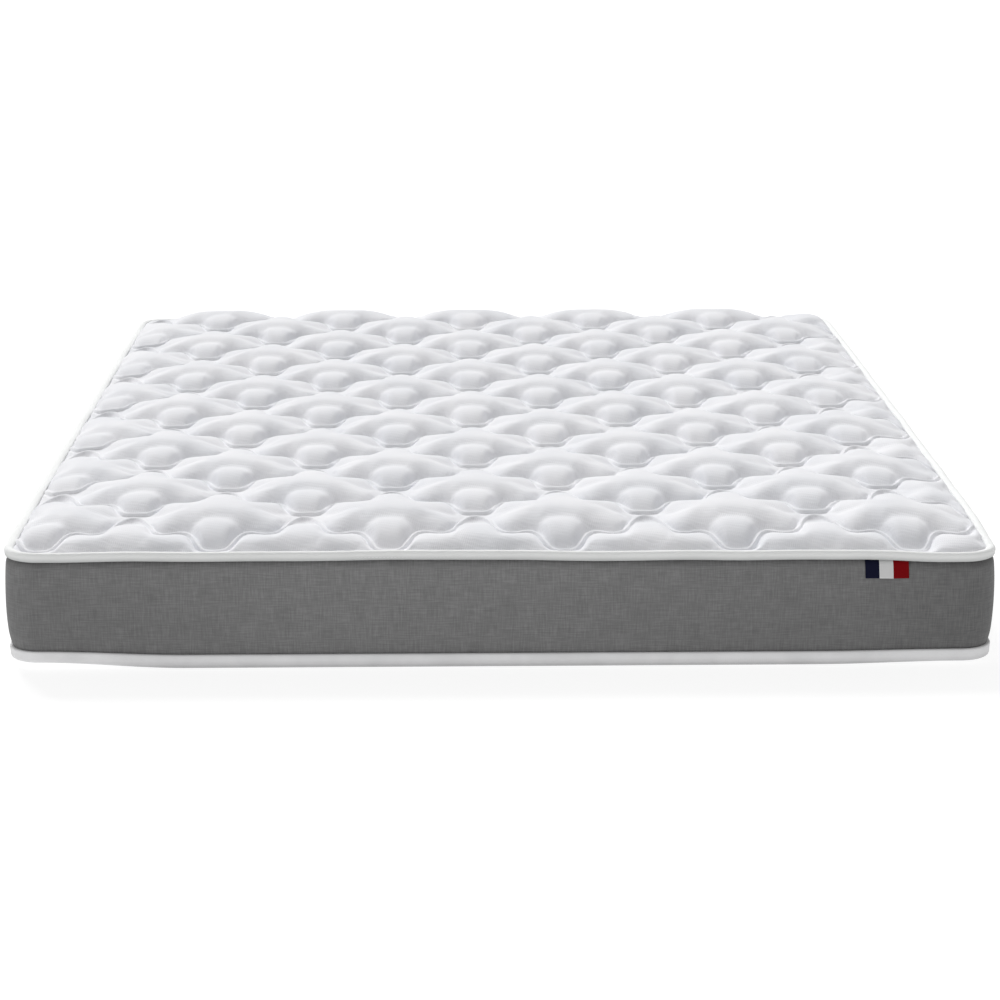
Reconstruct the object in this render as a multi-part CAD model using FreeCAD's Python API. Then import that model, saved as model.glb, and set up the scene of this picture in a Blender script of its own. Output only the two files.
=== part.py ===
import FreeCAD, Part
import os

# Memory foam mattress, 160 x 200 cm, in millimetres. It lies flat: X is its width, Y its length, and Z
# runs up from the surface it rests on. The origin is the centre of the underside. Every layer is a
# rounded rectangle, set in from one overall outline.

# overall outline
mattressWidth = 1600.0
mattressLength = 2000.0
cornerRadius = 55.0          # plan radius of the outline at its four corners
foamCornerRadius = 100.0     # the foam blocks are cut rounder, so that the cover turns softly over them
sideGap = 0.3                # clearance between nested upright layers
threadGap = 0.1              # clearance between a line of stitches and the cloth behind it

# heights, from the underside up
bottomTickingThickness = 1.5
bottomWaddingHeight = 5.5
bottomScrimHeight = 0.5
baseFoamHeight = 120.0
memoryFoamHeight = 50.0
topScrimHeight = 0.5
topWaddingHeight = 35.0
topTickingThickness = 1.5
bottomBandHeight = 20.0      # how far the white underside turns up the sides

# the cloth edge
tapeThickness = 5.0
tapeHeight = 17.0
tapeTopAboveFoam = 17.0
tapeSetback = 3.5            # from the tape's outer face back to the border's face
borderFabricThickness = 1.5
borderWaddingThickness = 6.0
borderScrimThickness = 0.4
crownRadius = 20.0           # how the quilted panel rolls down to the tape
bottomEdgeRadius = 6.0

# quilting: waves that run across the width, each sewn as a pair of lines
waveRepeat = 282.0
waveSpacing = 160.0
waveFirstPoint = 100.0       # X of one low point of the first wave
waveEdgeMargin = 44.0        # from the foot end to the first wave's low points
waveProfile = [              # across half a repeat, from a low point to the next peak: X and Y
    (0.0, 0.0), (18.0, 0.0), (36.0, 20.0), (50.0, 42.0), (62.0, 50.0), (78.0, 42.0), (95.0, 33.0),
    (106.0, 50.0), (120.0, 92.0), (130.0, 115.0), (141.0, 124.0)]
stitchPairGap = 10.0
threadWidth = 0.8
threadHeight = 0.5

# labels and the seam that closes the border
stripeLabelSize = (70.0, 33.0)
stripeLabelCentre = 618.0
careLabelSize = (42.0, 70.0)
careLabelCentre = -480.0
labelThickness = 0.8
labelGap = 0.2
closingSeamPlace = 320.0
closingSeamMargin = 4.0      # left free above and below the line of stitches

# insets from the overall outline
tapeOuter = threadHeight + threadGap
tapeInner = tapeOuter + tapeThickness
borderOuter = tapeOuter + tapeSetback
borderInner = borderOuter + borderFabricThickness
panelOuter = tapeInner + sideGap
borderWaddingOuter = borderInner + sideGap
borderWaddingInner = borderWaddingOuter + borderWaddingThickness
borderScrimOuter = borderWaddingInner + sideGap
borderScrimInner = borderScrimOuter + borderScrimThickness
foamOuter = borderScrimInner + sideGap

# levels above the resting surface
bottomWaddingTop = bottomTickingThickness + bottomWaddingHeight
baseFoamBottom = bottomWaddingTop + bottomScrimHeight
baseFoamTop = baseFoamBottom + baseFoamHeight
memoryFoamTop = baseFoamTop + memoryFoamHeight
topScrimTop = memoryFoamTop + topScrimHeight
topWaddingTop = topScrimTop + topWaddingHeight
topTickingTop = topWaddingTop + topTickingThickness
tapeTop = memoryFoamTop + tapeTopAboveFoam
tapeBottom = tapeTop - tapeHeight
firstRow = waveEdgeMargin - mattressLength / 2      # Y of the first wave's low points


def slab(inset, low, high, topRound=0.0, bottomRound=0.0, corner=None):
    """A rounded rectangle set in from the outline, with its upper or lower rim rolled over."""
    width = mattressWidth - 2 * inset
    length = mattressLength - 2 * inset
    solid = Part.makeBox(width, length, high - low, FreeCAD.Vector(-width / 2, -length / 2, low))
    upright = [edge for edge in solid.Edges if edge.BoundBox.ZLength > (high - low) / 2]
    solid = solid.makeFillet(corner or cornerRadius - inset, upright)
    for radius, level in ((topRound, high), (bottomRound, low)):
        if radius > 0:
            rim = [edge for edge in solid.Edges
                   if abs(edge.BoundBox.ZMin - level) < 1e-6 and abs(edge.BoundBox.ZMax - level) < 1e-6]
            solid = solid.makeFillet(radius, rim)
    return solid


def ring(outerInset, innerInset, low, high, rimRound=0.0):
    """An upright band that follows the outline between two insets."""
    outer = slab(outerInset, low, high, topRound=rimRound, bottomRound=rimRound)
    return outer.cut(slab(innerInset, low - 1, high + 1))


def crownedCap():
    """The quilted panel's cloth: a shallow cap that rolls down to the tape all round."""
    outside = slab(panelOuter, memoryFoamTop, topTickingTop, topRound=crownRadius)
    hollow = slab(panelOuter + topTickingThickness, memoryFoamTop - 1, topWaddingTop,
                  topRound=crownRadius - topTickingThickness)
    return outside.cut(hollow)


def underTray():
    """The underside's cloth, turned up round the sides as a low band."""
    outside = slab(borderOuter, 0, bottomBandHeight, bottomRound=bottomEdgeRadius)
    hollow = slab(borderInner, bottomTickingThickness, bottomBandHeight + 1,
                  bottomRound=bottomEdgeRadius - bottomTickingThickness)
    return outside.cut(hollow)


def waveRise(x, lowPoint):
    """Height of the wave above its low points, at x."""
    half = waveRepeat / 2
    away = abs((x - lowPoint + half) % waveRepeat - half)
    for (x0, y0), (x1, y1) in zip(waveProfile, waveProfile[1:]):
        if away <= x1:
            return y0 + (y1 - y0) * (away - x0) / (x1 - x0)
    return waveProfile[-1][1]


def stitchLine(row, side):
    """One line of quilting stitches, laid on the panel as a thin ribbon."""
    lowPoint = waveFirstPoint + (row % 2) * waveRepeat / 2
    reach = mattressWidth / 2 - panelOuter - crownRadius - threadWidth
    repeats = int(mattressWidth / waveRepeat) + 2
    stations = {-reach, reach}
    for turn in range(-repeats, repeats + 1):
        for away, rise in waveProfile:
            for x in (lowPoint + turn * waveRepeat - away, lowPoint + turn * waveRepeat + away):
                if abs(x) < reach - threadWidth:
                    stations.add(round(x, 3))
    middle = firstRow + row * waveSpacing + side * stitchPairGap / 2
    line = [FreeCAD.Vector(x, middle + waveRise(x, lowPoint), topTickingTop) for x in sorted(stations)]
    across = FreeCAD.Vector(0, threadWidth / 2, 0)
    outline = [point - across for point in line] + [point + across for point in reversed(line)]
    face = Part.Face(Part.makePolygon(outline + outline[:1]))
    return face.extrude(FreeCAD.Vector(0, 0, threadHeight))


def quiltingThread():
    """As many rows as lie whole on the flat of the panel, two lines of stitches to a row."""
    lastRow = mattressLength / 2 - panelOuter - crownRadius - stitchPairGap - waveProfile[-1][1]
    rows = int((lastRow - firstRow) / waveSpacing) + 1
    return Part.makeCompound([stitchLine(row, side) for row in range(rows) for side in (-1, 1)])


def facePatch(centre, width, low, high, inset, thickness, side):
    """A flat patch on the foot end (side -1) or the head end (side 1), hung at an inset."""
    outerY = mattressLength / 2 - inset
    start = outerY - thickness if side > 0 else -outerY
    return Part.makeBox(width, thickness, high - low, FreeCAD.Vector(centre - width / 2, start, low))


def hungLabel(size, centre, side):
    """A woven label caught under the tape, hanging in front of the border."""
    inset = borderOuter - labelGap - labelThickness
    return facePatch(centre, size[0], tapeBottom - size[1], tapeBottom, inset, labelThickness, side)


def threadRing(level, clothInset):
    """A line of stitches all round, just proud of the cloth."""
    inner = clothInset - threadGap
    return ring(inner - threadHeight, inner, level, level + threadWidth)


nodes = {
    "base_foam": slab(foamOuter, baseFoamBottom, baseFoamTop, corner=foamCornerRadius),
    "memory_foam": slab(foamOuter, baseFoamTop, memoryFoamTop, corner=foamCornerRadius),
    "top_scrim": slab(panelOuter + topTickingThickness + sideGap, memoryFoamTop, topScrimTop),
    "top_wadding": slab(panelOuter + topTickingThickness + sideGap, topScrimTop, topWaddingTop,
                        topRound=crownRadius - topTickingThickness),
    "top_ticking": crownedCap(),
    "top_quilting_thread": quiltingThread(),
    "top_tape": ring(tapeOuter, tapeInner, tapeBottom, tapeTop, rimRound=tapeThickness / 3),
    "top_tape_thread": threadRing(tapeBottom + tapeHeight / 3, tapeOuter),
    "border_fabric": ring(borderOuter, borderInner, bottomBandHeight, tapeBottom),
    "border_wadding": ring(borderWaddingOuter, borderWaddingInner, baseFoamBottom, tapeBottom),
    "border_scrim": ring(borderScrimOuter, borderScrimInner, baseFoamBottom, tapeBottom),
    "border_closing_thread": facePatch(closingSeamPlace, threadWidth, bottomBandHeight + closingSeamMargin,
                                       tapeBottom - closingSeamMargin,
                                       borderOuter - threadGap - threadHeight, threadHeight, 1),
    "bottom_ticking": underTray(),
    "bottom_seam_thread": threadRing(bottomBandHeight - 2 * threadWidth, borderOuter),
    "bottom_wadding": slab(borderInner + sideGap, bottomTickingThickness, bottomWaddingTop,
                           bottomRound=bottomEdgeRadius - bottomTickingThickness),
    "bottom_scrim": slab(borderInner + sideGap, bottomWaddingTop, baseFoamBottom),
    "stripe_label": hungLabel(stripeLabelSize, stripeLabelCentre, -1),
    "care_label": hungLabel(careLabelSize, careLabelCentre, 1),
}

os.makedirs("parts", exist_ok=True)
for name, shape in nodes.items():
    shape.exportStep(f"parts/{name}.step")
    box = shape.BoundBox
    print(f"{name}: {len(shape.Solids)} solid(s), {shape.Volume / 1e3:.1f} cm3, valid {shape.isValid()}, "
          f"z {box.ZMin:.1f} to {box.ZMax:.1f}")
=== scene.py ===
import math
import bpy, bmesh
import numpy as np
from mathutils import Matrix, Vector, noise


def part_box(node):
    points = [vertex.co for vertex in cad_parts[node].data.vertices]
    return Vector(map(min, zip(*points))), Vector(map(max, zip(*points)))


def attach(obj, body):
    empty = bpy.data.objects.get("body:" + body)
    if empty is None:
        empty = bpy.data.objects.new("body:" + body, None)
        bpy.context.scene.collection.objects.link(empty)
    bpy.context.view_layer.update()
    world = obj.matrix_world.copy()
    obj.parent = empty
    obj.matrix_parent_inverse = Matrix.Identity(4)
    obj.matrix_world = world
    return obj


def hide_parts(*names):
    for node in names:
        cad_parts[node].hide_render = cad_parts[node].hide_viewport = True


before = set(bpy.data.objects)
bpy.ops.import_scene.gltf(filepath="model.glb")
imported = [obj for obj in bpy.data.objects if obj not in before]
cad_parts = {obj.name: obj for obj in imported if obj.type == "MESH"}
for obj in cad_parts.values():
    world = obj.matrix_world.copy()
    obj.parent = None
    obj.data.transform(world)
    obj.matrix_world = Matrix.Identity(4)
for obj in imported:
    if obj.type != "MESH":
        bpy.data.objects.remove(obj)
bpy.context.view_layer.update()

# Mattress, 160 x 200 cm, in metres. X is its width, Y its length, Z up from the floor.
outlineLow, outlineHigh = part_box("top_tape_thread")
halfWidth, halfLength = outlineHigh[0], outlineHigh[1]
tapeLow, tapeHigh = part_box("top_tape")[0][2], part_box("top_tape")[1][2]
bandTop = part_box("bottom_ticking")[1][2]
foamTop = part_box("memory_foam")[1][2]
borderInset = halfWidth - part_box("border_fabric")[1][0]

edgeShape = {
    "cornerRadius": 0.055,
    "cornerSteps": 16,
    "straightStep": 0.011,
    "seamPlace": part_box("border_closing_thread")[0][0],   # X at the head end where the border's ends meet
    "tuckReach": 0.24,      # how far from a corner the lower edge starts to draw in
    "tuckIn": 0.0060, "tuckInTop": 0.048, "tuckInFade": 1.6,    # how far in, up to what height, how it fades
    "tuckUp": 0.0085, "tuckUpTop": 0.11, "tuckUpFade": 1.5,     # and how far up
    "rightShare": 0.35,     # the right corners lift less than the left ones
    "bow": 0.0035,          # the long sides belly outwards between their corners
    "bowLost": 0.7,         # and much less so at the floor
    # the tape hangs lower towards the foot's right corner: drop, where along X it starts, over what length
    "sagMiddle": (0.0022, 0.04, 0.12), "sagCorner": (0.0058, 0.56, 0.16), "sagReach": 0.22,
}


def smoothStep(low, high, value):
    t = min(max((value - low) / (high - low), 0.0), 1.0)
    return t * t * (3 - 2 * t)


def walkOutline(step):
    # stations round the outline from the closing seam: place, outward direction, distance, corner nearness
    radius = edgeShape["cornerRadius"]
    straightX, straightY = halfWidth - radius, halfLength - radius
    corners = [(-straightX, straightY, 90), (-straightX, -straightY, 180),
               (straightX, -straightY, 270), (straightX, straightY, 0)]
    places = []
    start = Vector((edgeShape["seamPlace"], halfLength, 0))
    for cornerX, cornerY, startAngle in corners:
        first = math.radians(startAngle)
        outward = Vector((math.cos(first), math.sin(first), 0))
        arcStart = Vector((cornerX, cornerY, 0)) + outward * radius
        run = (arcStart - start).length
        count = max(2, round(run / step))
        places += [(start.lerp(arcStart, i / count), outward) for i in range(count)]
        turns = max(edgeShape["cornerSteps"], round(radius * math.pi / 2 / step))
        for i in range(turns):
            angle = first + math.pi / 2 * i / turns
            outward = Vector((math.cos(angle), math.sin(angle), 0))
            places.append((Vector((cornerX, cornerY, 0)) + outward * radius, outward))
        start = Vector((cornerX, cornerY, 0)) + Vector((math.cos(first + math.pi / 2),
                                                        math.sin(first + math.pi / 2), 0)) * radius
    last = Vector((edgeShape["seamPlace"], halfLength, 0))
    count = max(2, round((last - start).length / step))
    places += [(start.lerp(last, i / count), Vector((0, 1, 0))) for i in range(count + 1)]
    stations, walked, before = [], 0.0, places[0][0]
    for place, outward in places:
        walked += (place - before).length
        before = place
        toCorner = math.hypot(max(straightX - abs(place.x), 0), max(straightY - abs(place.y), 0))
        nearness = 1 - smoothStep(0, edgeShape["tuckReach"], toCorner)
        stations.append((place, outward, walked, nearness))
    return stations


def sagAt(x, y):
    # how much lower the upper edge hangs at a place, from one end of the foot to the other
    sag = 0.0
    for drop, start, run in (edgeShape["sagMiddle"], edgeShape["sagCorner"]):
        t = np.clip((np.asarray(x) - start) / run, 0, 1)
        sag = sag + drop * t * t * (3 - 2 * t)
    v = np.clip((np.asarray(y) + halfLength) / edgeShape["sagReach"], 0, 1)
    return sag * (1 - v * v * (3 - 2 * v))


def bowAt(x, y):
    # sideways shift of a place as the long sides belly out
    return np.sign(x) * edgeShape["bow"] * (np.abs(x) / halfWidth) ** 4 * (1 - (np.abs(y) / halfLength) ** 4)


def finishPiece(bm, name, material):
    mesh = bpy.data.meshes.new(name)
    bm.to_mesh(mesh)
    bm.free()
    for polygon in mesh.polygons:
        polygon.use_smooth = True
    mesh.materials.append(material)
    piece = bpy.data.objects.new(name, mesh)
    bpy.context.scene.collection.objects.link(piece)
    return piece


def wrapRound(name, material, profile, step, shape=None, closed=False):
    # a strip of cloth wrapped once round the outline; profile is (inset, height) going up, or round a loop
    stations = walkOutline(step)
    profile = profile + profile[:1] if closed else profile
    columns, rows = len(stations) - 1, len(profile) - 1
    rise = [0.0]
    for (inset0, z0), (inset1, z1) in zip(profile, profile[1:]):
        rise.append(rise[-1] + math.hypot(inset1 - inset0, z1 - z0))
    bm = bmesh.new()
    bmesh.ops.create_grid(bm, x_segments=columns, y_segments=rows, size=0.5)
    uvLayer = bm.loops.layers.uv.new("cloth")
    spot = {vert: (round((vert.co.x + 0.5) * columns), round((vert.co.y + 0.5) * rows)) for vert in bm.verts}
    for face in bm.faces:
        for loop in face.loops:
            column, row = spot[loop.vert]
            loop[uvLayer].uv = (stations[column][2], rise[row])
    for vert, (column, row) in spot.items():
        place, outward, walked, nearness = stations[column % columns]
        inset, z = profile[row % rows] if closed else profile[row]
        if shape:
            inset, z = shape(inset, z, walked, nearness, place)
        low = 1 - smoothStep(bandTop, tapeLow, z)
        vert.co = place - outward * inset + Vector((0, 0, z - float(sagAt(place.x, place.y)) * (1 - low)))
        vert.co.x += float(bowAt(place.x, place.y)) * (1 - edgeShape["bowLost"] * low)
    bmesh.ops.remove_doubles(bm, verts=bm.verts, dist=1e-6)
    bmesh.ops.recalc_face_normals(bm, faces=bm.faces)
    outermost = max(bm.faces, key=lambda face: face.calc_center_median().x)
    if outermost.normal.x < 0:
        bmesh.ops.reverse_faces(bm, faces=bm.faces)
    return finishPiece(bm, name, material)


def linearColour(hexColour):
    # sRGB hex to linear
    channels = [int(hexColour[i:i + 2], 16) / 255 for i in (0, 2, 4)]
    return [c / 12.92 if c <= 0.04045 else ((c + 0.055) / 1.055) ** 2.4 for c in channels] + [1.0]


def addNode(tree, kind, settings):
    # one node with its values and links; a value that is a socket becomes a link
    node = tree.nodes.new("ShaderNode" + kind)
    for key, value in settings.items():
        if isinstance(key, str) and key not in node.inputs:
            setattr(node, key, value)
        elif isinstance(value, bpy.types.NodeSocket):
            tree.links.new(value, node.inputs[key])
        else:
            node.inputs[key].default_value = value
    return node


def newMaterial(name, values):
    material = bpy.data.materials.new(name)
    material.use_nodes = True
    shader = material.node_tree.nodes["Principled BSDF"]
    for socket, value in values.items():
        shader.inputs[socket].default_value = value
    material.diffuse_color = shader.inputs["Base Color"].default_value
    return material, material.node_tree, shader


def colourRamp(tree, source, stops, interpolation="LINEAR"):
    node = addNode(tree, "ValToRGB", {"Fac": source})
    ramp = node.color_ramp
    ramp.interpolation = interpolation
    while len(ramp.elements) < len(stops):
        ramp.elements.new(1.0)
    for element, (position, hexColour) in zip(ramp.elements, stops):
        element.position = position
        element.color = linearColour(hexColour)
    return node.outputs["Color"]


def bumpInto(tree, shader, layers):
    # bumps stacked one on another: (height socket, strength, depth in metres)
    below = None
    for height, strength, depth in layers:
        settings = {"Height": height, "Strength": strength, "Distance": depth}
        if below:
            settings["Normal"] = below
        below = addNode(tree, "Bump", settings).outputs["Normal"]
    tree.links.new(below, shader.inputs["Normal"])


def crossedThreads(tree, vector, warpSpacing, weftSpacing):
    # two sets of ridges at right angles, multiplied: spacing in metres between threads
    scaled = []
    for spacing, direction in ((warpSpacing, "X"), (weftSpacing, "Y")):
        wave = addNode(tree, "TexWave", {"Vector": vector, "wave_type": "BANDS", "bands_direction": direction,
                                         "Scale": math.pi / 10 / spacing, "Distortion": 0.0})
        scaled.append(wave.outputs["Fac"])
    return addNode(tree, "Math", {"operation": "MULTIPLY", 0: scaled[0], 1: scaled[1]}).outputs[0]


knitFinish = {
    "white": "f2f2f5",
    "shade": "eaebef",
    "courseSpacing": 0.0034,    # real wales are 1.2 mm apart; drawn coarser so that they show
    "slant": 14,                # the wales run a little askew, as rolled knit does
    "loopBump": (0.30, 0.0007),                       # strength, and depth in metres
    "creaseScale": 55.0, "creaseBump": (0.40, 0.0012),                       # soft folds, about 18 mm apart
    "puckerScale": 90.0, "puckerBump": (0.35, 0.0010), "puckerStretch": 3.2,     # fine ones, drawn out across
    "fuzzScale": 420.0, "fuzzBump": (0.2, 0.0003),
}


def makeKnit():
    # polyester stretch knit, circular knitted: soft, matt and faintly downy
    material, tree, shader = newMaterial("polyesterStretchKnit", {
        "Base Color": linearColour(knitFinish["white"]), "Roughness": 0.85, "Sheen Weight": 0.25,
        "Sheen Roughness": 0.5, "Specular IOR Level": 0.25})
    place = addNode(tree, "TexCoord", {}).outputs["Object"]
    soft = addNode(tree, "TexNoise", {"Vector": place, "Scale": 9.0, "Detail": 3.0})
    tint = colourRamp(tree, soft.outputs["Fac"], [(0.35, knitFinish["shade"]), (0.65, knitFinish["white"])])
    tree.links.new(tint, shader.inputs["Base Color"])
    slant = math.radians(knitFinish["slant"])
    slanted = addNode(tree, "Mapping", {"Vector": place, "Rotation": (0.0, 0.0, slant)})
    loops = crossedThreads(tree, slanted.outputs["Vector"], knitFinish["courseSpacing"],
                           knitFinish["courseSpacing"] * 2.2)
    fuzz = addNode(tree, "TexNoise", {"Vector": place, "Scale": knitFinish["fuzzScale"], "Detail": 2.0})
    creases = addNode(tree, "TexNoise", {"Vector": place, "Scale": knitFinish["creaseScale"], "Detail": 4.0,
                                         "Roughness": 0.6})
    stretch = knitFinish["puckerStretch"]
    pulled = addNode(tree, "Mapping", {"Vector": place, "Scale": (1.0, stretch, stretch)})
    puckers = addNode(tree, "TexNoise", {"Vector": pulled.outputs["Vector"], "Detail": 3.0,
                                         "Scale": knitFinish["puckerScale"]})
    bumpInto(tree, shader, [(creases.outputs["Fac"], *knitFinish["creaseBump"]),
                            (puckers.outputs["Fac"], *knitFinish["puckerBump"]),
                            (loops, *knitFinish["loopBump"]), (fuzz.outputs["Fac"], *knitFinish["fuzzBump"])])
    return material


tapeFinish = {
    "ribSpacing": 0.0022,       # real ribs 1.1 mm, drawn twice as wide
    # distance round the fold and painted shade: darker where the tape turns under, lighter on its crown
    "paintedFoldShade": [(0.0060, "b2b4b3"), (0.0095, "c6c8c7"), (0.0140, "e2e3e2"), (0.0190, "f8f9f8")],
    "reach": 0.05,              # all the way round it
}


def makeTape():
    # woven polyester binding, ribbed across its width: flatter and greyer than the knit, with painted shade
    # round its fold, darker underneath and lighter on its crown
    material, tree, shader = newMaterial("wovenPolyesterTape", {
        "Base Color": linearColour(tapeFinish["paintedFoldShade"][2][1]), "Roughness": 0.7, "Specular IOR Level": 0.3})
    place = addNode(tree, "UVMap", {"uv_map": "cloth"}).outputs["UV"]
    ribs = crossedThreads(tree, place, tapeFinish["ribSpacing"], tapeFinish["ribSpacing"] * 0.6)
    # painted shade: the colour darkens round the fold towards the underside, and noise jitters where it
    # starts
    foldShadeJitter = addNode(tree, "TexNoise", {"Vector": place, "Scale": 14.0, "Detail": 3.0})
    around = addNode(tree, "SeparateXYZ", {"Vector": place}).outputs["Y"]
    uneven = addNode(tree, "Math", {"operation": "MULTIPLY_ADD", 0: foldShadeJitter.outputs["Fac"], 1: 0.002, 2: around})
    share = addNode(tree, "Math", {"operation": "DIVIDE", 0: uneven.outputs[0], 1: tapeFinish["reach"]})
    tint = colourRamp(tree, share.outputs[0],
                      [(along / tapeFinish["reach"], shade) for along, shade in tapeFinish["paintedFoldShade"]])
    tree.links.new(tint, shader.inputs["Base Color"])
    bumpInto(tree, shader, [(ribs, 0.5, 0.0005)])
    return material


weaveFinish = {
    "dark": "737373", "middle": "7d7d7d", "light": "898989",
    "threadSpacing": 0.0024,     # real threads 0.8 mm, drawn three times as wide so that the weave shows
    "slubLength": 0.03, "slubWidth": 0.0022,
    # painted shade: how much of its lightness the cloth keeps along the mattress, from its left side to its
    # right
    "across": [(0.0, "ededed"), (0.32, "ffffff"), (0.55, "fbfbfb"), (0.85, "ededed"), (1.0, "d6d6d6")],
    "paintedShadeLowest": 0.86,              # and painted shade, darker down at the band
}


def makeBorderWeave():
    # melange polyester plain weave: grey threads of several shades with slubs both ways, like linen
    material, tree, shader = newMaterial("melangePlainWeave", {
        "Base Color": linearColour(weaveFinish["middle"]), "Roughness": 0.9, "Sheen Weight": 0.15,
        "Specular IOR Level": 0.2})
    place = addNode(tree, "UVMap", {"uv_map": "cloth"}).outputs["UV"]
    slubs = []
    for along, across in ((weaveFinish["slubLength"], weaveFinish["slubWidth"]),
                          (weaveFinish["slubWidth"], weaveFinish["slubLength"])):
        stretched = addNode(tree, "Mapping", {"Vector": place, "Scale": (1 / along, 1 / across, 1.0)})
        slub = addNode(tree, "TexNoise", {"Vector": stretched.outputs["Vector"], "Scale": 1.0, "Detail": 2.0,
                                          "Roughness": 0.6})
        slubs.append(slub.outputs["Fac"])
    melange = addNode(tree, "Math", {"operation": "ADD", 0: slubs[0], 1: slubs[1]}).outputs[0]
    cloudy = addNode(tree, "TexNoise", {"Vector": place, "Scale": 26.0, "Detail": 4.0})
    mixed = addNode(tree, "Math", {"operation": "MULTIPLY_ADD", 0: cloudy.outputs["Fac"], 1: 0.35,
                                   2: melange})
    half = addNode(tree, "Math", {"operation": "MULTIPLY", 0: mixed.outputs[0], 1: 0.43}).outputs[0]
    tint = colourRamp(tree, half, [(0.38, weaveFinish["dark"]), (0.5, weaveFinish["middle"]),
                                   (0.62, weaveFinish["light"])])
    # painted shade: the weave darkens towards the right end and down towards the band, where the light falls
    # off
    spot = addNode(tree, "SeparateXYZ", {"Vector": addNode(tree, "TexCoord", {}).outputs["Object"]})
    share = addNode(tree, "MapRange", {"Value": spot.outputs["X"], "From Min": -halfWidth,
                                       "From Max": halfWidth})
    drift = colourRamp(tree, share.outputs["Result"], weaveFinish["across"])
    paintedShadeDown = addNode(tree, "MapRange", {"Value": spot.outputs["Z"], "From Min": bandTop, "From Max": tapeLow,
                                      "To Min": weaveFinish["paintedShadeLowest"], "To Max": 1.0})
    paintedShadeTint = addNode(tree, "VectorMath", {"operation": "MULTIPLY", 0: tint, 1: drift}).outputs["Vector"]
    shaded = addNode(tree, "VectorMath", {"operation": "SCALE", 0: paintedShadeTint, "Scale": paintedShadeDown.outputs["Result"]})
    tree.links.new(shaded.outputs["Vector"], shader.inputs["Base Color"])
    threads = crossedThreads(tree, place, weaveFinish["threadSpacing"], weaveFinish["threadSpacing"])
    bumpInto(tree, shader, [(half, 0.35, 0.0008), (threads, 0.12, 0.0005)])
    return material


def makePlainCloth(name, hexColour, shadeHex, spacing, roughness=0.85, paintedLowShade=None):
    # closely woven or knitted polyester, plain and matt; the optional ramp paints shade by height, darker
    # near the floor
    material, tree, shader = newMaterial(name, {
        "Base Color": linearColour(hexColour), "Roughness": roughness, "Specular IOR Level": 0.25})
    place = addNode(tree, "TexCoord", {}).outputs["Object"]
    soft = addNode(tree, "TexNoise", {"Vector": place, "Scale": 18.0, "Detail": 3.0})
    tint = colourRamp(tree, soft.outputs["Fac"], [(0.35, shadeHex), (0.65, hexColour)])
    if paintedLowShade:
        # painted shade: darker towards the floor, where the band meets it
        height = addNode(tree, "SeparateXYZ", {"Vector": place}).outputs["Z"]
        share = addNode(tree, "Math", {"operation": "DIVIDE", 0: height, 1: bandTop}).outputs[0]
        paintedLowShadeTint = colourRamp(tree, share, paintedLowShade)
        tint = addNode(tree, "VectorMath", {"operation": "MULTIPLY", 0: tint, 1: paintedLowShadeTint}).outputs["Vector"]
    tree.links.new(tint, shader.inputs["Base Color"])
    threads = crossedThreads(tree, place, spacing, spacing)
    bumpInto(tree, shader, [(soft.outputs["Fac"], 0.2, 0.001), (threads, 0.35, 0.0004)])
    return material


ribbonFinish = {
    "stripes": [(0.0, "0e1128"), (0.32, "d0d0d0"), (0.64, "760007")],       # where each starts, as a share
    "ribShare": 0.02,
}


def makeRibbon():
    # woven polyester ribbon in three flat stripes, with fine ribs across
    material, tree, shader = newMaterial("wovenStripeRibbon", {
        "Base Color": linearColour("b9b9b9"), "Roughness": 0.8, "Specular IOR Level": 0.1})
    place = addNode(tree, "UVMap", {"uv_map": "cloth"}).outputs["UV"]
    across = addNode(tree, "SeparateXYZ", {"Vector": place}).outputs["X"]
    tint = colourRamp(tree, across, ribbonFinish["stripes"], "CONSTANT")
    tree.links.new(tint, shader.inputs["Base Color"])
    ribs = crossedThreads(tree, place, ribbonFinish["ribShare"], ribbonFinish["ribShare"])
    bumpInto(tree, shader, [(ribs, 0.5, 0.0003)])
    return material


def makeThread(name, hexColour):
    # twisted polyester sewing thread: a little shine along each strand
    material, tree, shader = newMaterial(name, {
        "Base Color": linearColour(hexColour), "Roughness": 0.5, "Specular IOR Level": 0.4})
    place = addNode(tree, "TexCoord", {}).outputs["Object"]
    twist = addNode(tree, "TexNoise", {"Vector": place, "Scale": 900.0, "Detail": 1.0})
    bumpInto(tree, shader, [(twist.outputs["Fac"], 0.4, 0.0002)])
    return material


def makeFoam(name, hexColour, cellScale):
    # cast polyurethane foam: fine open cells
    material, tree, shader = newMaterial(name, {"Base Color": linearColour(hexColour), "Roughness": 0.95})
    place = addNode(tree, "TexCoord", {}).outputs["Object"]
    cells = addNode(tree, "TexVoronoi", {"Vector": place, "Scale": cellScale})
    bumpInto(tree, shader, [(cells.outputs["Distance"], 0.5, 0.0008)])
    return material


knit = makeKnit()
tape = makeTape()
borderWeave = makeBorderWeave()
# the underside band gets painted shade, darker near the floor
undersideCloth = makePlainCloth("knittedUndersideCloth", "ebebec", "e2e2e3", 0.003,
                                paintedLowShade=[(0.0, "c4c4c4"), (0.16, "d2d2d2"), (0.32, "eeeeee"), (0.6, "ffffff")])
satin = makePlainCloth("polyesterSatin", "ebebeb", "e2e2e2", 0.0016, roughness=0.45)
ribbon = makeRibbon()
thread = makeThread("spunPolyesterThread", "eeeef0")
print("materials made")

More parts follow.
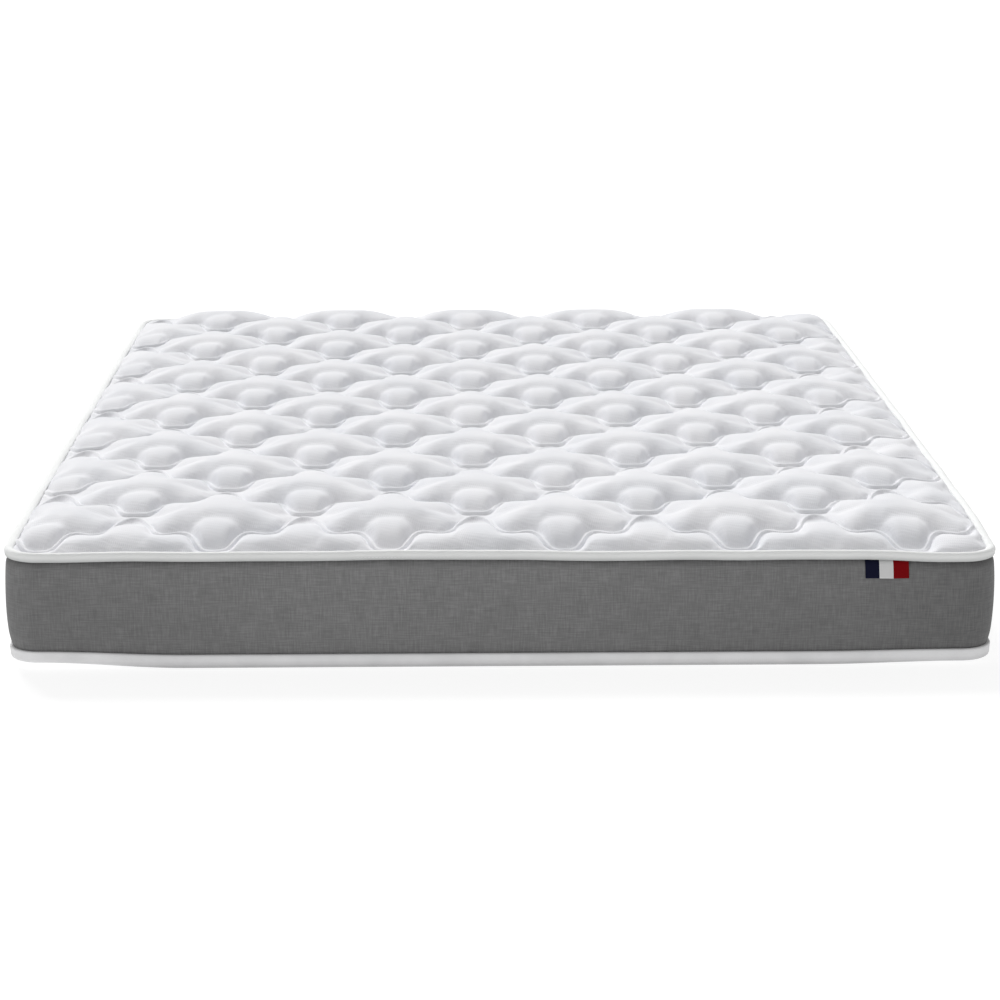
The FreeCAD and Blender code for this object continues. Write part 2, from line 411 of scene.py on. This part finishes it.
# The top is quilted in waves that run across it, each a pair of stitch lines with a cord of cloth between.
# Every second wave is shifted by half a repeat, so that pillows form between them.
quilt = {
    "waves": 12,
    "repeat": 0.282,
    "rowSpacing": 0.16,
    "lowPoint": 0.100,            # X of one low point of the first wave
    "edgeMargin": 0.044,          # from the foot end to the first wave's low points
    "profile": [(0.0, 0.0), (0.0185, 0.0), (0.030, 0.022), (0.0405, 0.048), (0.050, 0.060), (0.060, 0.060),
                (0.075, 0.053), (0.088, 0.050), (0.0995, 0.060), (0.110, 0.086), (0.122, 0.119),
                (0.132, 0.135), (0.141, 0.140)],      # half a wave: how far from a low point, and how high
    "rounding": 0.008,            # how softly the needle turns
    "pairGap": 0.0105,            # between the two lines of a wave
    "ridge": 0.0060,              # height of the cord of cloth between them
    "ridgeShoulder": 0.72,        # and how much of it is left halfway to a stitch line
    "fullLevel": 0.2240,          # height that the fill strives for far from any stitch
    "rimFullLevel": 0.2110, "fullStart": 0.080, "fullReach": 0.060,   # lower round the edge
    "softness": 0.0175,           # distance over which the cloth rises from a stitch
    "relaxTurns": 700,
    "floor": 0.1990,              # level of the stitches over the middle
    "footFloor": 0.1780, "footStart": 0.042, "footReach": 0.045,      # lower near the foot end
    "sideFloor": 0.1850, "sideStart": 0.010, "sideReach": 0.030,      # and near the long sides
    "peakDrop": 0.0420, "peakRise": 0.122, "peakWidth": 0.034, "peakDepth": 0.036,   # hollow of a high point
    "peakHeld": 0.32,             # the cloth doesn't swell where it is this near a high point, of 1
    "tipDrop": 0.0090, "tipWidth": 0.060, "tipDepth": 0.036,      # and a shallow one at each low point
    "overFoam": 0.0008,           # the cloth is never nearer the memory foam
    "headInset": 0.03,            # the head end is plumper, right up to its edge
    "rimInset": 0.0105, "rimLevel": 0.1840,               # where the cloth goes under the tape
    "columnStep": 0.0112, "steepness": 0.5,               # mesh columns, closer where the waves are steep
    "bandRows": 18, "edgeRows": 13, "easing": 0.4,        # mesh rows between waves, closer at the stitches
    "crease": 0.0052, "creaseWidth": 0.0090, "creaseRise": 0.090, "creaseReach": 0.048, "creaseArch": 0.030,
    "creaseFade": 1.3,
    "ball": 0.0026, "ballRise": 0.044, "ballRadius": 0.026,       # the fill bunches up under the crease
    "headFade": 0.55, "headFadeFrom": 0.2,        # both get weaker towards the head end
}


def waveRise(x, row):
    # height of a wave's middle over its low points, with its corners rounded by averaging along it
    profileX, profileY = np.array(quilt["profile"]).T
    half = quilt["repeat"] / 2
    lowPoint = quilt["lowPoint"] + (row % 2) * half
    total = 0.0
    weights = 0.0
    for shift in np.linspace(-quilt["rounding"], quilt["rounding"], 9):
        away = np.abs((x + shift - lowPoint + half) % quilt["repeat"] - half)
        weight = 1 + math.cos(math.pi * shift / (quilt["rounding"] * 1.1))
        total = total + weight * np.interp(away, profileX, profileY)
        weights += weight
    return total / weights


def quiltColumns():
    # X of each column, closer together where the waves are steep
    reach = halfWidth - quilt["rimInset"]
    fine = np.linspace(-reach, reach, 6000)
    slopes = [np.gradient(waveRise(fine, row), fine) for row in (0, 1)]
    density = np.sqrt(1 + quilt["steepness"] * (slopes[0] ** 2 + slopes[1] ** 2))
    walked = np.concatenate([[0], np.cumsum((density[1:] + density[:-1]) / 2 * np.diff(fine))])
    count = round(walked[-1] / quilt["columnStep"])
    return np.interp(np.linspace(0, walked[-1], count + 1), walked, fine)


def quiltRows(columns):
    # Y of every row at every column, and which rows are stitched or are the crest of a ridge
    reach = halfLength - quilt["rimInset"]
    lines = []
    for row in range(quilt["waves"]):
        rise = waveRise(columns, row)
        slope = np.gradient(rise, columns)
        middle = quilt["edgeMargin"] - halfLength + row * quilt["rowSpacing"] + rise
        across = quilt["pairGap"] / 2 * np.sqrt(1 + np.minimum(slope ** 2, 6.0))
        lines.append((middle - across, middle, middle + across))
    rows, kinds = [np.full_like(columns, -reach)], ["edge"]
    for row, (lower, middle, upper) in enumerate(lines):
        count = quilt["edgeRows"] if row == 0 else quilt["bandRows"]
        start = rows[-1]
        for i in range(1, count):
            t = i / count
            t = (1 - quilt["easing"]) * t + quilt["easing"] * (0.5 - 0.5 * math.cos(math.pi * t))
            rows.append(start + (lower - start) * t)
            kinds.append("fill")
        rows += [lower, (lower + middle) / 2, middle, (middle + upper) / 2, upper]
        kinds += ["stitch", "shoulder", "ridge", "shoulder", "stitch"]
    start, end = rows[-1], np.full_like(columns, reach)
    for i in range(1, quilt["edgeRows"]):
        rows.append(start + (end - start) * i / quilt["edgeRows"])
        kinds.append("fill")
    rows.append(end)
    kinds.append("edge")
    return np.array(rows), kinds


def roundCorners(x, y):
    # bends the square corners of the sheet to the plan radius
    radius = edgeShape["cornerRadius"] - quilt["rimInset"]
    coreX = halfWidth - quilt["rimInset"] - radius
    coreY = halfLength - quilt["rimInset"] - radius
    u = np.maximum(np.abs(x) - coreX, 0) / radius
    v = np.maximum(np.abs(y) - coreY, 0) / radius
    both = (u > 0) & (v > 0)
    newX = np.where(both, np.sign(x) * (coreX + radius * u * np.sqrt(1 - v * v / 2)), x)
    newY = np.where(both, np.sign(y) * (coreY + radius * v * np.sqrt(1 - u * u / 2)), y)
    return newX, newY


def settle(inset, low, high, start, reach):
    # rises from low to high over reach, from start inwards
    return low + (high - low) * (1 - np.exp(-np.maximum(inset - start, 0) / reach))


def nearPeaksAndTips(x, y):
    # 1 at each wave's high points, and at its low points, fading to 0 round them
    peaks, tips = np.zeros_like(x), np.zeros_like(x)
    half = quilt["repeat"] / 2
    for row in range(quilt["waves"]):
        across = (x - quilt["lowPoint"] - (row % 2) * half + half) % quilt["repeat"] - half
        up = y - (quilt["edgeMargin"] - halfLength + row * quilt["rowSpacing"])
        peaks += np.exp(-((half - np.abs(across)) / quilt["peakWidth"]) ** 2
                        - ((up - quilt["peakRise"]) / quilt["peakDepth"]) ** 2)
        tips += np.exp(-(across / quilt["tipWidth"]) ** 2 - (up / quilt["tipDepth"]) ** 2)
    return peaks, tips


def wanted(x, y):
    # height that the fill strives for: less at the edge, in each high point and at the tips of the pillows
    inset = np.minimum(halfWidth - np.abs(x), halfLength + y)
    inset = np.minimum(inset, quilt["headInset"] + (halfLength - y) * 2)
    level = settle(inset, quilt["rimFullLevel"], quilt["fullLevel"], quilt["fullStart"], quilt["fullReach"])
    peaks, tips = nearPeaksAndTips(x, y)
    return level - quilt["peakDrop"] * peaks - quilt["tipDrop"] * tips


def fillLevel(x, y, pinned, level):
    # height of the cloth: under tension over springy wadding, and held down where it is pinned
    aim = wanted(x, y)
    height = np.where(pinned, level, aim)
    pull = 1 / quilt["softness"] ** 2
    alongRow = np.hypot(np.diff(x, axis=1), np.diff(y, axis=1)) + 1e-5
    acrossRow = np.hypot(np.diff(x, axis=0), np.diff(y, axis=0)) + 1e-5
    weightX, weightY = 1 / alongRow ** 2, 1 / acrossRow ** 2
    total = np.full_like(x, pull)
    total[:, 1:] += weightX
    total[:, :-1] += weightX
    total[1:, :] += weightY
    total[:-1, :] += weightY
    free = ~pinned
    for turn in range(quilt["relaxTurns"]):
        near = pull * aim
        near[:, 1:] += weightX * height[:, :-1]
        near[:, :-1] += weightX * height[:, 1:]
        near[1:, :] += weightY * height[:-1, :]
        near[:-1, :] += weightY * height[1:, :]
        height[free] = (near / total)[free]
    return height


def rowsOf(*kinds):
    return np.array([kind in kinds for kind in rowKinds])[:, None] | np.zeros(sheetX.shape, bool)


columns = quiltColumns()
rowPlaces, rowKinds = quiltRows(columns)
sheetX, sheetY = roundCorners(np.broadcast_to(columns, rowPlaces.shape).copy(), rowPlaces)
isStitch = rowsOf("stitch")
isCord = rowsOf("stitch", "shoulder", "ridge")
isRim = np.zeros(sheetX.shape, bool)
isRim[0, :] = isRim[-1, :] = isRim[:, 0] = isRim[:, -1] = True
stitchLevel = np.minimum(settle(halfLength + sheetY, quilt["footFloor"], quilt["floor"],
                                quilt["footStart"], quilt["footReach"]),
                         settle(halfWidth - np.abs(sheetX), quilt["sideFloor"], quilt["floor"],
                                quilt["sideStart"], quilt["sideReach"]))
sheetZ = fillLevel(sheetX, sheetY, isCord | isRim, np.where(isRim, quilt["rimLevel"], stitchLevel))
ridgeShare = rowsOf("ridge") + quilt["ridgeShoulder"] * rowsOf("shoulder")
sheetZ += quilt["ridge"] * np.where(isRim, 0, ridgeShare)


def creaseDepth(x, y):
    # the cloth is drawn tight across the mouth of each low point, which leaves an arched crease
    depth = np.zeros_like(x)
    for row in range(quilt["waves"]):
        lowPoint = quilt["lowPoint"] + (row % 2) * quilt["repeat"] / 2
        across = (x - lowPoint + quilt["repeat"] / 2) % quilt["repeat"] - quilt["repeat"] / 2
        low = quilt["edgeMargin"] - halfLength + row * quilt["rowSpacing"]
        arch = low + quilt["creaseRise"] - quilt["creaseArch"] * (across / quilt["creaseReach"]) ** 2
        away = (y - arch) / quilt["creaseWidth"]
        fade = np.clip(quilt["creaseFade"] * (1 - (across / quilt["creaseReach"]) ** 2), 0, 1)
        depth += quilt["crease"] * np.exp(-away ** 2) * fade
        fromBall = (across ** 2 + (y - low - quilt["ballRise"]) ** 2) / quilt["ballRadius"] ** 2
        depth -= quilt["ball"] * np.exp(-fromBall)
    return depth * (1 - quilt["headFade"] * np.clip(y / halfLength + quilt["headFadeFrom"], 0, 1))


sheetZ -= creaseDepth(sheetX, sheetY)
sheetZ -= sagAt(sheetX, sheetY)
sheetX += bowAt(sheetX, sheetY)
sheetZ = np.maximum(sheetZ, foamTop + quilt["overFoam"])
print("quilt laid out:", sheetX.shape)


def makeSheet(name, x, y, z):
    # a grid with a vertex for each place, and each vertex's row and column
    rowCount, columnCount = x.shape
    bm = bmesh.new()
    bmesh.ops.create_grid(bm, x_segments=columnCount - 1, y_segments=rowCount - 1, size=0.5)
    mesh = bpy.data.meshes.new(name)
    bm.to_mesh(mesh)
    bm.free()
    flat = np.empty(len(mesh.vertices) * 3)
    mesh.vertices.foreach_get("co", flat)
    flat = flat.reshape(-1, 3)
    column = np.rint((flat[:, 0] + 0.5) * (columnCount - 1)).astype(int)
    row = np.rint((flat[:, 1] + 0.5) * (rowCount - 1)).astype(int)
    places = np.stack([x[row, column], y[row, column], z[row, column]], axis=1)
    mesh.vertices.foreach_set("co", places.ravel())
    mesh.update()
    piece = bpy.data.objects.new(name, mesh)
    bpy.context.scene.collection.objects.link(piece)
    return piece, row, column


quiltTop, vertRow, vertColumn = makeSheet("quilted_top", sheetX, sheetY, sheetZ)
quiltTop.data.materials.append(knit)


filling = {
    "frames": 20, "pressure": 4.0, "slack": -0.015,
    "cap": 0.007,                 # no point moves further
    "mass": 0.25, "stretchStiffness": 18, "shearStiffness": 8, "bendStiffness": 0.4, "quality": 4,
}


def inflate(piece, held):
    # fill pushing up under a slightly slack cloth, with the stitches and the rim held
    group = piece.vertex_groups.new(name="held")
    group.add([int(i) for i in np.flatnonzero(held)], 1.0, "REPLACE")
    before = np.empty(len(piece.data.vertices) * 3)
    piece.data.vertices.foreach_get("co", before)
    cloth = piece.modifiers.new("fill", "CLOTH")
    cloth.point_cache.frame_start, cloth.point_cache.frame_end = 1, filling["frames"]
    settings = cloth.settings
    settings.quality = filling["quality"]
    settings.mass = filling["mass"]
    settings.tension_stiffness = settings.compression_stiffness = filling["stretchStiffness"]
    settings.shear_stiffness = filling["shearStiffness"]
    settings.bending_stiffness = filling["bendStiffness"]
    settings.vertex_group_mass = "held"
    settings.pin_stiffness = 1.0
    settings.use_pressure = True
    settings.uniform_pressure_force = filling["pressure"]
    settings.shrink_min = filling["slack"]
    settings.effector_weights.gravity = 0
    cloth.collision_settings.use_collision = False
    cloth.collision_settings.use_self_collision = False
    for number in range(1, filling["frames"] + 1):
        bpy.context.scene.frame_set(number)
    graph = bpy.context.evaluated_depsgraph_get()
    after = np.empty_like(before)
    piece.evaluated_get(graph).data.vertices.foreach_get("co", after)
    piece.modifiers.remove(cloth)
    bpy.context.scene.frame_set(1)
    move = (after - before).reshape(-1, 3)
    length = np.linalg.norm(move, axis=1, keepdims=True)
    move *= np.minimum(1, filling["cap"] / np.maximum(length, 1e-9))
    print("cloth moved", float(length.max()), float(length.mean()))
    piece.data.vertices.foreach_set("co", (before.reshape(-1, 3) + move).ravel())
    piece.data.update()


isPeak = nearPeaksAndTips(sheetX, sheetY)[0] > quilt["peakHeld"]
inflate(quiltTop, (isStitch | isRim | isPeak)[vertRow, vertColumn])
for polygon in quiltTop.data.polygons:
    polygon.use_smooth = True
soften = quiltTop.modifiers.new("soften", "SUBSURF")
soften.levels = soften.render_levels = 1
print("quilt filled")

# the tape is folded over the seam between the top and the border, and sewn down, so it wavers a little
tapeShape = {
    "waver": 0.0018, "waverLength": 0.13, "insetShare": 0.3,
    "gather": 0.0002, "gatherLength": 0.018,
    # inset, and height as a share of the tape's, from its lower inner edge outwards and over
    "profile": [(0.0066, 0.16), (0.0048, 0.03), (0.0032, 0.0), (0.0017, 0.05), (0.0007, 0.17), (0.0005, 0.30),
                (0.0002, 0.42), (0.0001, 0.56), (0.0009, 0.71), (0.0026, 0.83), (0.0052, 0.885),
                (0.0090, 0.87), (0.0130, 0.79), (0.0152, 0.66), (0.0140, 0.46), (0.0100, 0.30)],
}


def waverTape(inset, z, walked, nearness, place):
    drift = noise.noise(Vector((place.x, place.y, 0)) / tapeShape["waverLength"])
    gather = noise.noise(Vector((place.x, place.y, 3)) / tapeShape["gatherLength"])
    return (inset + tapeShape["waver"] * tapeShape["insetShare"] * drift + tapeShape["gather"] * gather,
            z + tapeShape["waver"] * noise.noise(Vector((place.x, place.y, 7)) / tapeShape["waverLength"]))


tapeProfile = [(inset, tapeLow + share * (tapeHigh - tapeLow)) for inset, share in tapeShape["profile"]]
tapePiece = wrapRound("edge_tape", tape, tapeProfile, edgeShape["straightStep"], waverTape, closed=True)

borderShape = {
    "bulge": 0.0055,
    "upperSwell": 0.5, "lowerSwell": 0.8,       # the lower, the sooner it swells out from its edge
    "ripple": 0.0006, "rippleAlong": 6, "rippleUp": 9,
    "pinch": 0.0065, "pinchDepth": 0.009,       # drawn in just under the tape
    "behindBand": 0.001, "behindTape": 0.003, "turnedIn": 0.003,
    "rows": 34,
}


def tuckCorner(inset, z, nearness, place):
    # the lower edge draws in and lifts a little towards each corner
    share = 1 - (1 - edgeShape["rightShare"]) * smoothStep(0.0, 0.5, place.x)
    drawn = edgeShape["tuckIn"] * max(0.0, 1 - z / edgeShape["tuckInTop"]) ** edgeShape["tuckInFade"]
    lifted = edgeShape["tuckUp"] * max(0.0, 1 - z / edgeShape["tuckUpTop"]) ** edgeShape["tuckUpFade"]
    return inset + nearness * drawn, z + nearness * share * lifted


def borderSwell(z):
    # how far the padding pushes the border out at a height, most of it above the middle
    share = min(max((z - bandTop) / (tapeLow - bandTop), 0.0), 1.0)
    pinched = borderShape["pinch"] * smoothStep(tapeLow - borderShape["pinchDepth"], tapeLow, z)
    swell = math.sin(math.pi * share) ** borderShape["upperSwell" if share > 0.5 else "lowerSwell"]
    return borderShape["bulge"] * swell - pinched


def swellBorder(inset, z, walked, nearness, place):
    swell = borderSwell(z)
    along, up = borderShape["rippleAlong"], borderShape["rippleUp"]
    ripple = borderShape["ripple"] * noise.noise(Vector((place.x * along, place.y * along, z * up)))
    return tuckCorner(inset - swell - ripple * swell / borderShape["bulge"], z, nearness, place)


borderLow = bandTop - borderShape["behindBand"]
borderProfile = [(borderInset + borderShape["turnedIn"], borderLow - borderShape["behindBand"] / 2)]
for i in range(borderShape["rows"] + 1):
    share = i / borderShape["rows"]
    borderProfile.append((borderInset, borderLow + share * (tapeLow + borderShape["behindTape"] - bandTop)))
borderPiece = wrapRound("border_panel", borderWeave, borderProfile, edgeShape["straightStep"], swellBorder)

# the underside cloth turns up the sides as a band that stands a little proud of the border
bandShape = {
    "ripple": 0.0005, "rippleAlong": 9, "rippleUp": 20, "rippleFrom": 0.008,
    "openBelow": 0.0125,        # boundary edges lower than this are the open middle of the underside
    "profile": [(0.040, 0.0), (0.012, 0.0), (0.0020, 0.0), (-0.0014, 0.0003), (-0.0028, 0.0014),
                (-0.0032, 0.0034), (-0.0029, 0.0066), (-0.0024, 0.0110), (-0.0021, 0.0155), (-0.0018, 0.0190),
                (-0.0010, 0.0208), (0.0008, 0.0215), (0.0040, 0.0212), (0.0072, 0.0206)],
}


def shapeBand(inset, z, walked, nearness, place):
    along, up = bandShape["rippleAlong"], bandShape["rippleUp"]
    ripple = bandShape["ripple"] * noise.noise(Vector((place.x * along, place.y * along, z * up)))
    return tuckCorner(inset - ripple * smoothStep(0, bandShape["rippleFrom"], z), z, nearness, place)


bandPiece = wrapRound("underside", undersideCloth, bandShape["profile"], edgeShape["straightStep"], shapeBand)
bm = bmesh.new()
bm.from_mesh(bandPiece.data)
opening = [edge for edge in bm.edges
           if edge.is_boundary and max(vert.co.z for vert in edge.verts) < bandShape["openBelow"]]
bmesh.ops.holes_fill(bm, edges=opening)
bmesh.ops.recalc_face_normals(bm, faces=bm.faces)
if min(bm.faces, key=lambda face: face.calc_center_median().z).normal.z > 0:
    bmesh.ops.reverse_faces(bm, faces=bm.faces)
bm.to_mesh(bandPiece.data)
bm.free()

# stitches: a fine thread that rises and sinks once per stitch
stitchShape = {
    "length": 0.0060, "radius": 0.0003, "sink": 0.0004,
    "quiltLength": 0.0042, "quiltRadius": 0.00035, "quiltLift": 0.0007, "quiltSink": 0.0007,
    "points": 2,                                # places along each stitch of the quilting
    "tapeInset": 0.0009, "tapeShare": 0.33,     # the line along the tape, and how high up the tape it is
    "seamInset": 0.0002, "seamLift": 0.0022,    # the line just over the band
    "closingGap": 0.003, "closingProud": 0.0002, "closingSteps": 60,     # the two lines at the closing seam
}


def threadProfile(inset, z):
    radius = stitchShape["radius"]
    return [(inset - radius, z), (inset, z + radius), (inset + radius, z), (inset, z - radius)]


def runStitch(inset, z, walked, nearness, place):
    phase = math.cos(2 * math.pi * walked / stitchShape["length"])
    return inset + stitchShape["sink"] * (phase < -0.6), z


def cornerStitch(inset, z, walked, nearness, place):
    inset, z = runStitch(inset, z, walked, nearness, place)
    return tuckCorner(inset, z, nearness, place)


tapeStitch = wrapRound("tape_stitches", thread,
                       threadProfile(stitchShape["tapeInset"],
                                     tapeLow + stitchShape["tapeShare"] * (tapeHigh - tapeLow)),
                       stitchShape["length"] / 4, runStitch, closed=True)
seamStitch = wrapRound("seam_stitches", thread,
                       threadProfile(borderInset + stitchShape["seamInset"],
                                     bandTop + stitchShape["seamLift"]),
                       stitchShape["length"] / 4, cornerStitch, closed=True)
print("edge wrapped")


def threadsAlong(name, material, lines, length, radius, sink):
    # a tube along each line of points, dipping into the cloth once per stitch
    bm = bmesh.new()
    for line in lines:
        walked = np.concatenate([[0], np.cumsum(np.linalg.norm(np.diff(line, axis=0), axis=1))])
        steps = np.arange(0, walked[-1], length / stitchShape["points"])
        path = np.stack([np.interp(steps, walked, line[:, axis]) for axis in range(3)], axis=1)
        path[:, 2] -= sink * (np.arange(len(steps)) % stitchShape["points"] == 0)
        along = np.gradient(path, axis=0)
        aside = np.cross(along, (0, 0, 1.0))
        aside /= np.linalg.norm(aside, axis=1, keepdims=True) + 1e-12
        made = bmesh.ops.create_grid(bm, x_segments=len(steps) - 1, y_segments=3, size=0.5)["verts"]
        for vert in made:
            column, turn = round((vert.co.x + 0.5) * (len(steps) - 1)), vert.co.y * 2 * math.pi
            across, up = radius * math.cos(turn), radius * math.sin(turn)
            vert.co = Vector(path[column] + aside[column] * across + np.array((0, 0, up)))
    bmesh.ops.remove_doubles(bm, verts=bm.verts, dist=1e-6)
    bmesh.ops.recalc_face_normals(bm, faces=bm.faces)
    return finishPiece(bm, name, material)


cloth = np.empty(len(quiltTop.data.vertices) * 3)
quiltTop.data.vertices.foreach_get("co", cloth)
cloth = cloth.reshape(-1, 3)
stitchLines = []
for row in np.flatnonzero([kind == "stitch" for kind in rowKinds]):
    line = cloth[vertRow == row]
    stitchLines.append(line[np.argsort(vertColumn[vertRow == row])] + (0, 0, stitchShape["quiltLift"]))
quiltStitch = threadsAlong("quilting_stitches", thread, stitchLines, stitchShape["quiltLength"],
                           stitchShape["quiltRadius"], stitchShape["quiltSink"])

seamX = edgeShape["seamPlace"]
seamLines = []
for shift in (-stitchShape["closingGap"], stitchShape["closingGap"]):
    heights = np.linspace(bandTop + 0.003, tapeLow - 0.001, stitchShape["closingSteps"])
    seamLines.append(np.array([(seamX + shift,
                                halfLength - borderInset + borderSwell(z) + stitchShape["closingProud"], z)
                               for z in heights]))
closingStitch = threadsAlong("closing_stitches", thread, seamLines, stitchShape["quiltLength"],
                             stitchShape["quiltRadius"], 0.0)
print("stitched")


labelShape = {
    "standOff": 0.0009, "lean": 0.0014, "shift": -0.0016,
    "curl": 0.0008, "thickness": 0.0007, "columns": 20, "rows": 12,
}


def hangLabel(name, node, material, side):
    # a folded woven tag caught under the tape, standing off the border a little at its foot
    low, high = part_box(node)
    bm = bmesh.new()
    bmesh.ops.create_grid(bm, x_segments=labelShape["columns"], y_segments=labelShape["rows"], size=0.5)
    uvLayer = bm.loops.layers.uv.new("cloth")
    for face in bm.faces:
        for loop in face.loops:
            loop[uvLayer].uv = ((loop.vert.co.x + 0.5) if side < 0 else (0.5 - loop.vert.co.x),
                                loop.vert.co.y + 0.5)
    width, drop = high[0] - low[0], high[2] - low[2]
    centre = (low[0] + high[0]) / 2 + labelShape["shift"]
    for vert in bm.verts:
        across, down = vert.co.x, 0.5 - vert.co.y
        curl = labelShape["curl"] * down * (down + math.sin(across * 5 + 1))
        z = high[2] - down * drop
        face = halfLength - borderInset + borderSwell(z) + labelShape["standOff"]
        vert.co = Vector((centre + across * width + labelShape["lean"] * down, side * (face + curl), z))
    bmesh.ops.recalc_face_normals(bm, faces=bm.faces)
    if next(iter(bm.faces)).normal.y * side < 0:
        bmesh.ops.reverse_faces(bm, faces=bm.faces)
    bmesh.ops.solidify(bm, geom=bm.faces, thickness=labelShape["thickness"])
    return finishPiece(bm, name, material)


stripeTag = hangLabel("stripe_tag", "stripe_label", ribbon, -1)
careTag = hangLabel("care_tag", "care_label", satin, 1)

# the pieces hang from the root body, and the CAD parts that they stand in for are hidden
for piece in (quiltTop, tapePiece, borderPiece, bandPiece, tapeStitch, seamStitch, quiltStitch, closingStitch,
              stripeTag, careTag):
    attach(piece, "root")
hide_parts("top_ticking", "top_wadding", "top_scrim")
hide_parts("top_quilting_thread")
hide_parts("top_tape")
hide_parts("top_tape_thread")
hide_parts("border_fabric", "border_wadding", "border_scrim")
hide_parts("border_closing_thread")
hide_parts("bottom_ticking", "bottom_wadding", "bottom_scrim")
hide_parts("bottom_seam_thread")
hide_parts("stripe_label")
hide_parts("care_label")
for node, foam in (("base_foam", makeFoam("polyurethaneBlockFoam", "dcdcd6", 520.0)),
                   ("memory_foam", makeFoam("viscoelasticFoam", "e9e6da", 900.0))):
    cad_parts[node].data.materials.clear()
    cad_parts[node].data.materials.append(foam)

studio = {
    "floorSize": 40, "floor": "a8a8a8", "floorGlow": 0.78,      # glows enough to read as plain white
    "sky": 0.43,
    "sun": 2.5, "sunHeight": 42, "sunFrom": 104, "sunSoftness": 24,
    "fill": 0.22, "fillFrom": (-0.80, -0.50, 0.42), "fillSoftness": 50,
}
floorMesh = bpy.data.meshes.new("floor")
bm = bmesh.new()
bmesh.ops.create_grid(bm, x_segments=1, y_segments=1, size=studio["floorSize"])
bm.to_mesh(floorMesh)
bm.free()
floor = bpy.data.objects.new("floor", floorMesh)
bpy.context.scene.collection.objects.link(floor)
# a seamless studio sweep: matt, and lit evenly from below its surface
floorMaterial = newMaterial("paleStudioFloor", {
    "Base Color": linearColour(studio["floor"]), "Roughness": 1.0, "Specular IOR Level": 0.0,
    "Emission Color": (1.0, 1.0, 1.0, 1.0), "Emission Strength": studio["floorGlow"]})[0]
floorMesh.materials.append(floorMaterial)


def addLamp(name, strength, softness, towards):
    lamp = bpy.data.lights.new(name, "SUN")
    lamp.energy = strength
    lamp.angle = math.radians(softness)
    holder = bpy.data.objects.new(name, lamp)
    holder.rotation_euler = towards.to_track_quat("Z", "Y").to_euler()
    bpy.context.scene.collection.objects.link(holder)


# one broad soft lamp, high behind the head end and to the left, and a weak fill from the front left
around, above = math.radians(studio["sunFrom"]), math.radians(studio["sunHeight"])
addLamp("softbox", studio["sun"], studio["sunSoftness"],
        Vector((math.cos(around) * math.cos(above), math.sin(around) * math.cos(above), math.sin(above))))
addLamp("fill", studio["fill"], studio["fillSoftness"], Vector(studio["fillFrom"]))
world = bpy.data.worlds.new("studio")
bpy.context.scene.world = world
world.use_nodes = True
world.node_tree.nodes["Background"].inputs["Color"].default_value = (1.0, 1.0, 1.0, 1.0)
world.node_tree.nodes["Background"].inputs["Strength"].default_value = studio["sky"]
bpy.context.scene.view_settings.view_transform = "Standard"

cameraSet = {"place": (-0.08, -4.984, 1.327), "down": 14.76, "turn": 1.10, "lens": 93.5}
cameraData = bpy.data.cameras.new("camera")
cameraData.lens, cameraData.sensor_width = cameraSet["lens"], 36.0
camera = bpy.data.objects.new("camera", cameraData)
camera.location = cameraSet["place"]
camera.rotation_euler = (math.radians(90 - cameraSet["down"]), 0, -math.radians(cameraSet["turn"]))
bpy.context.scene.collection.objects.link(camera)
bpy.context.scene.camera = camera
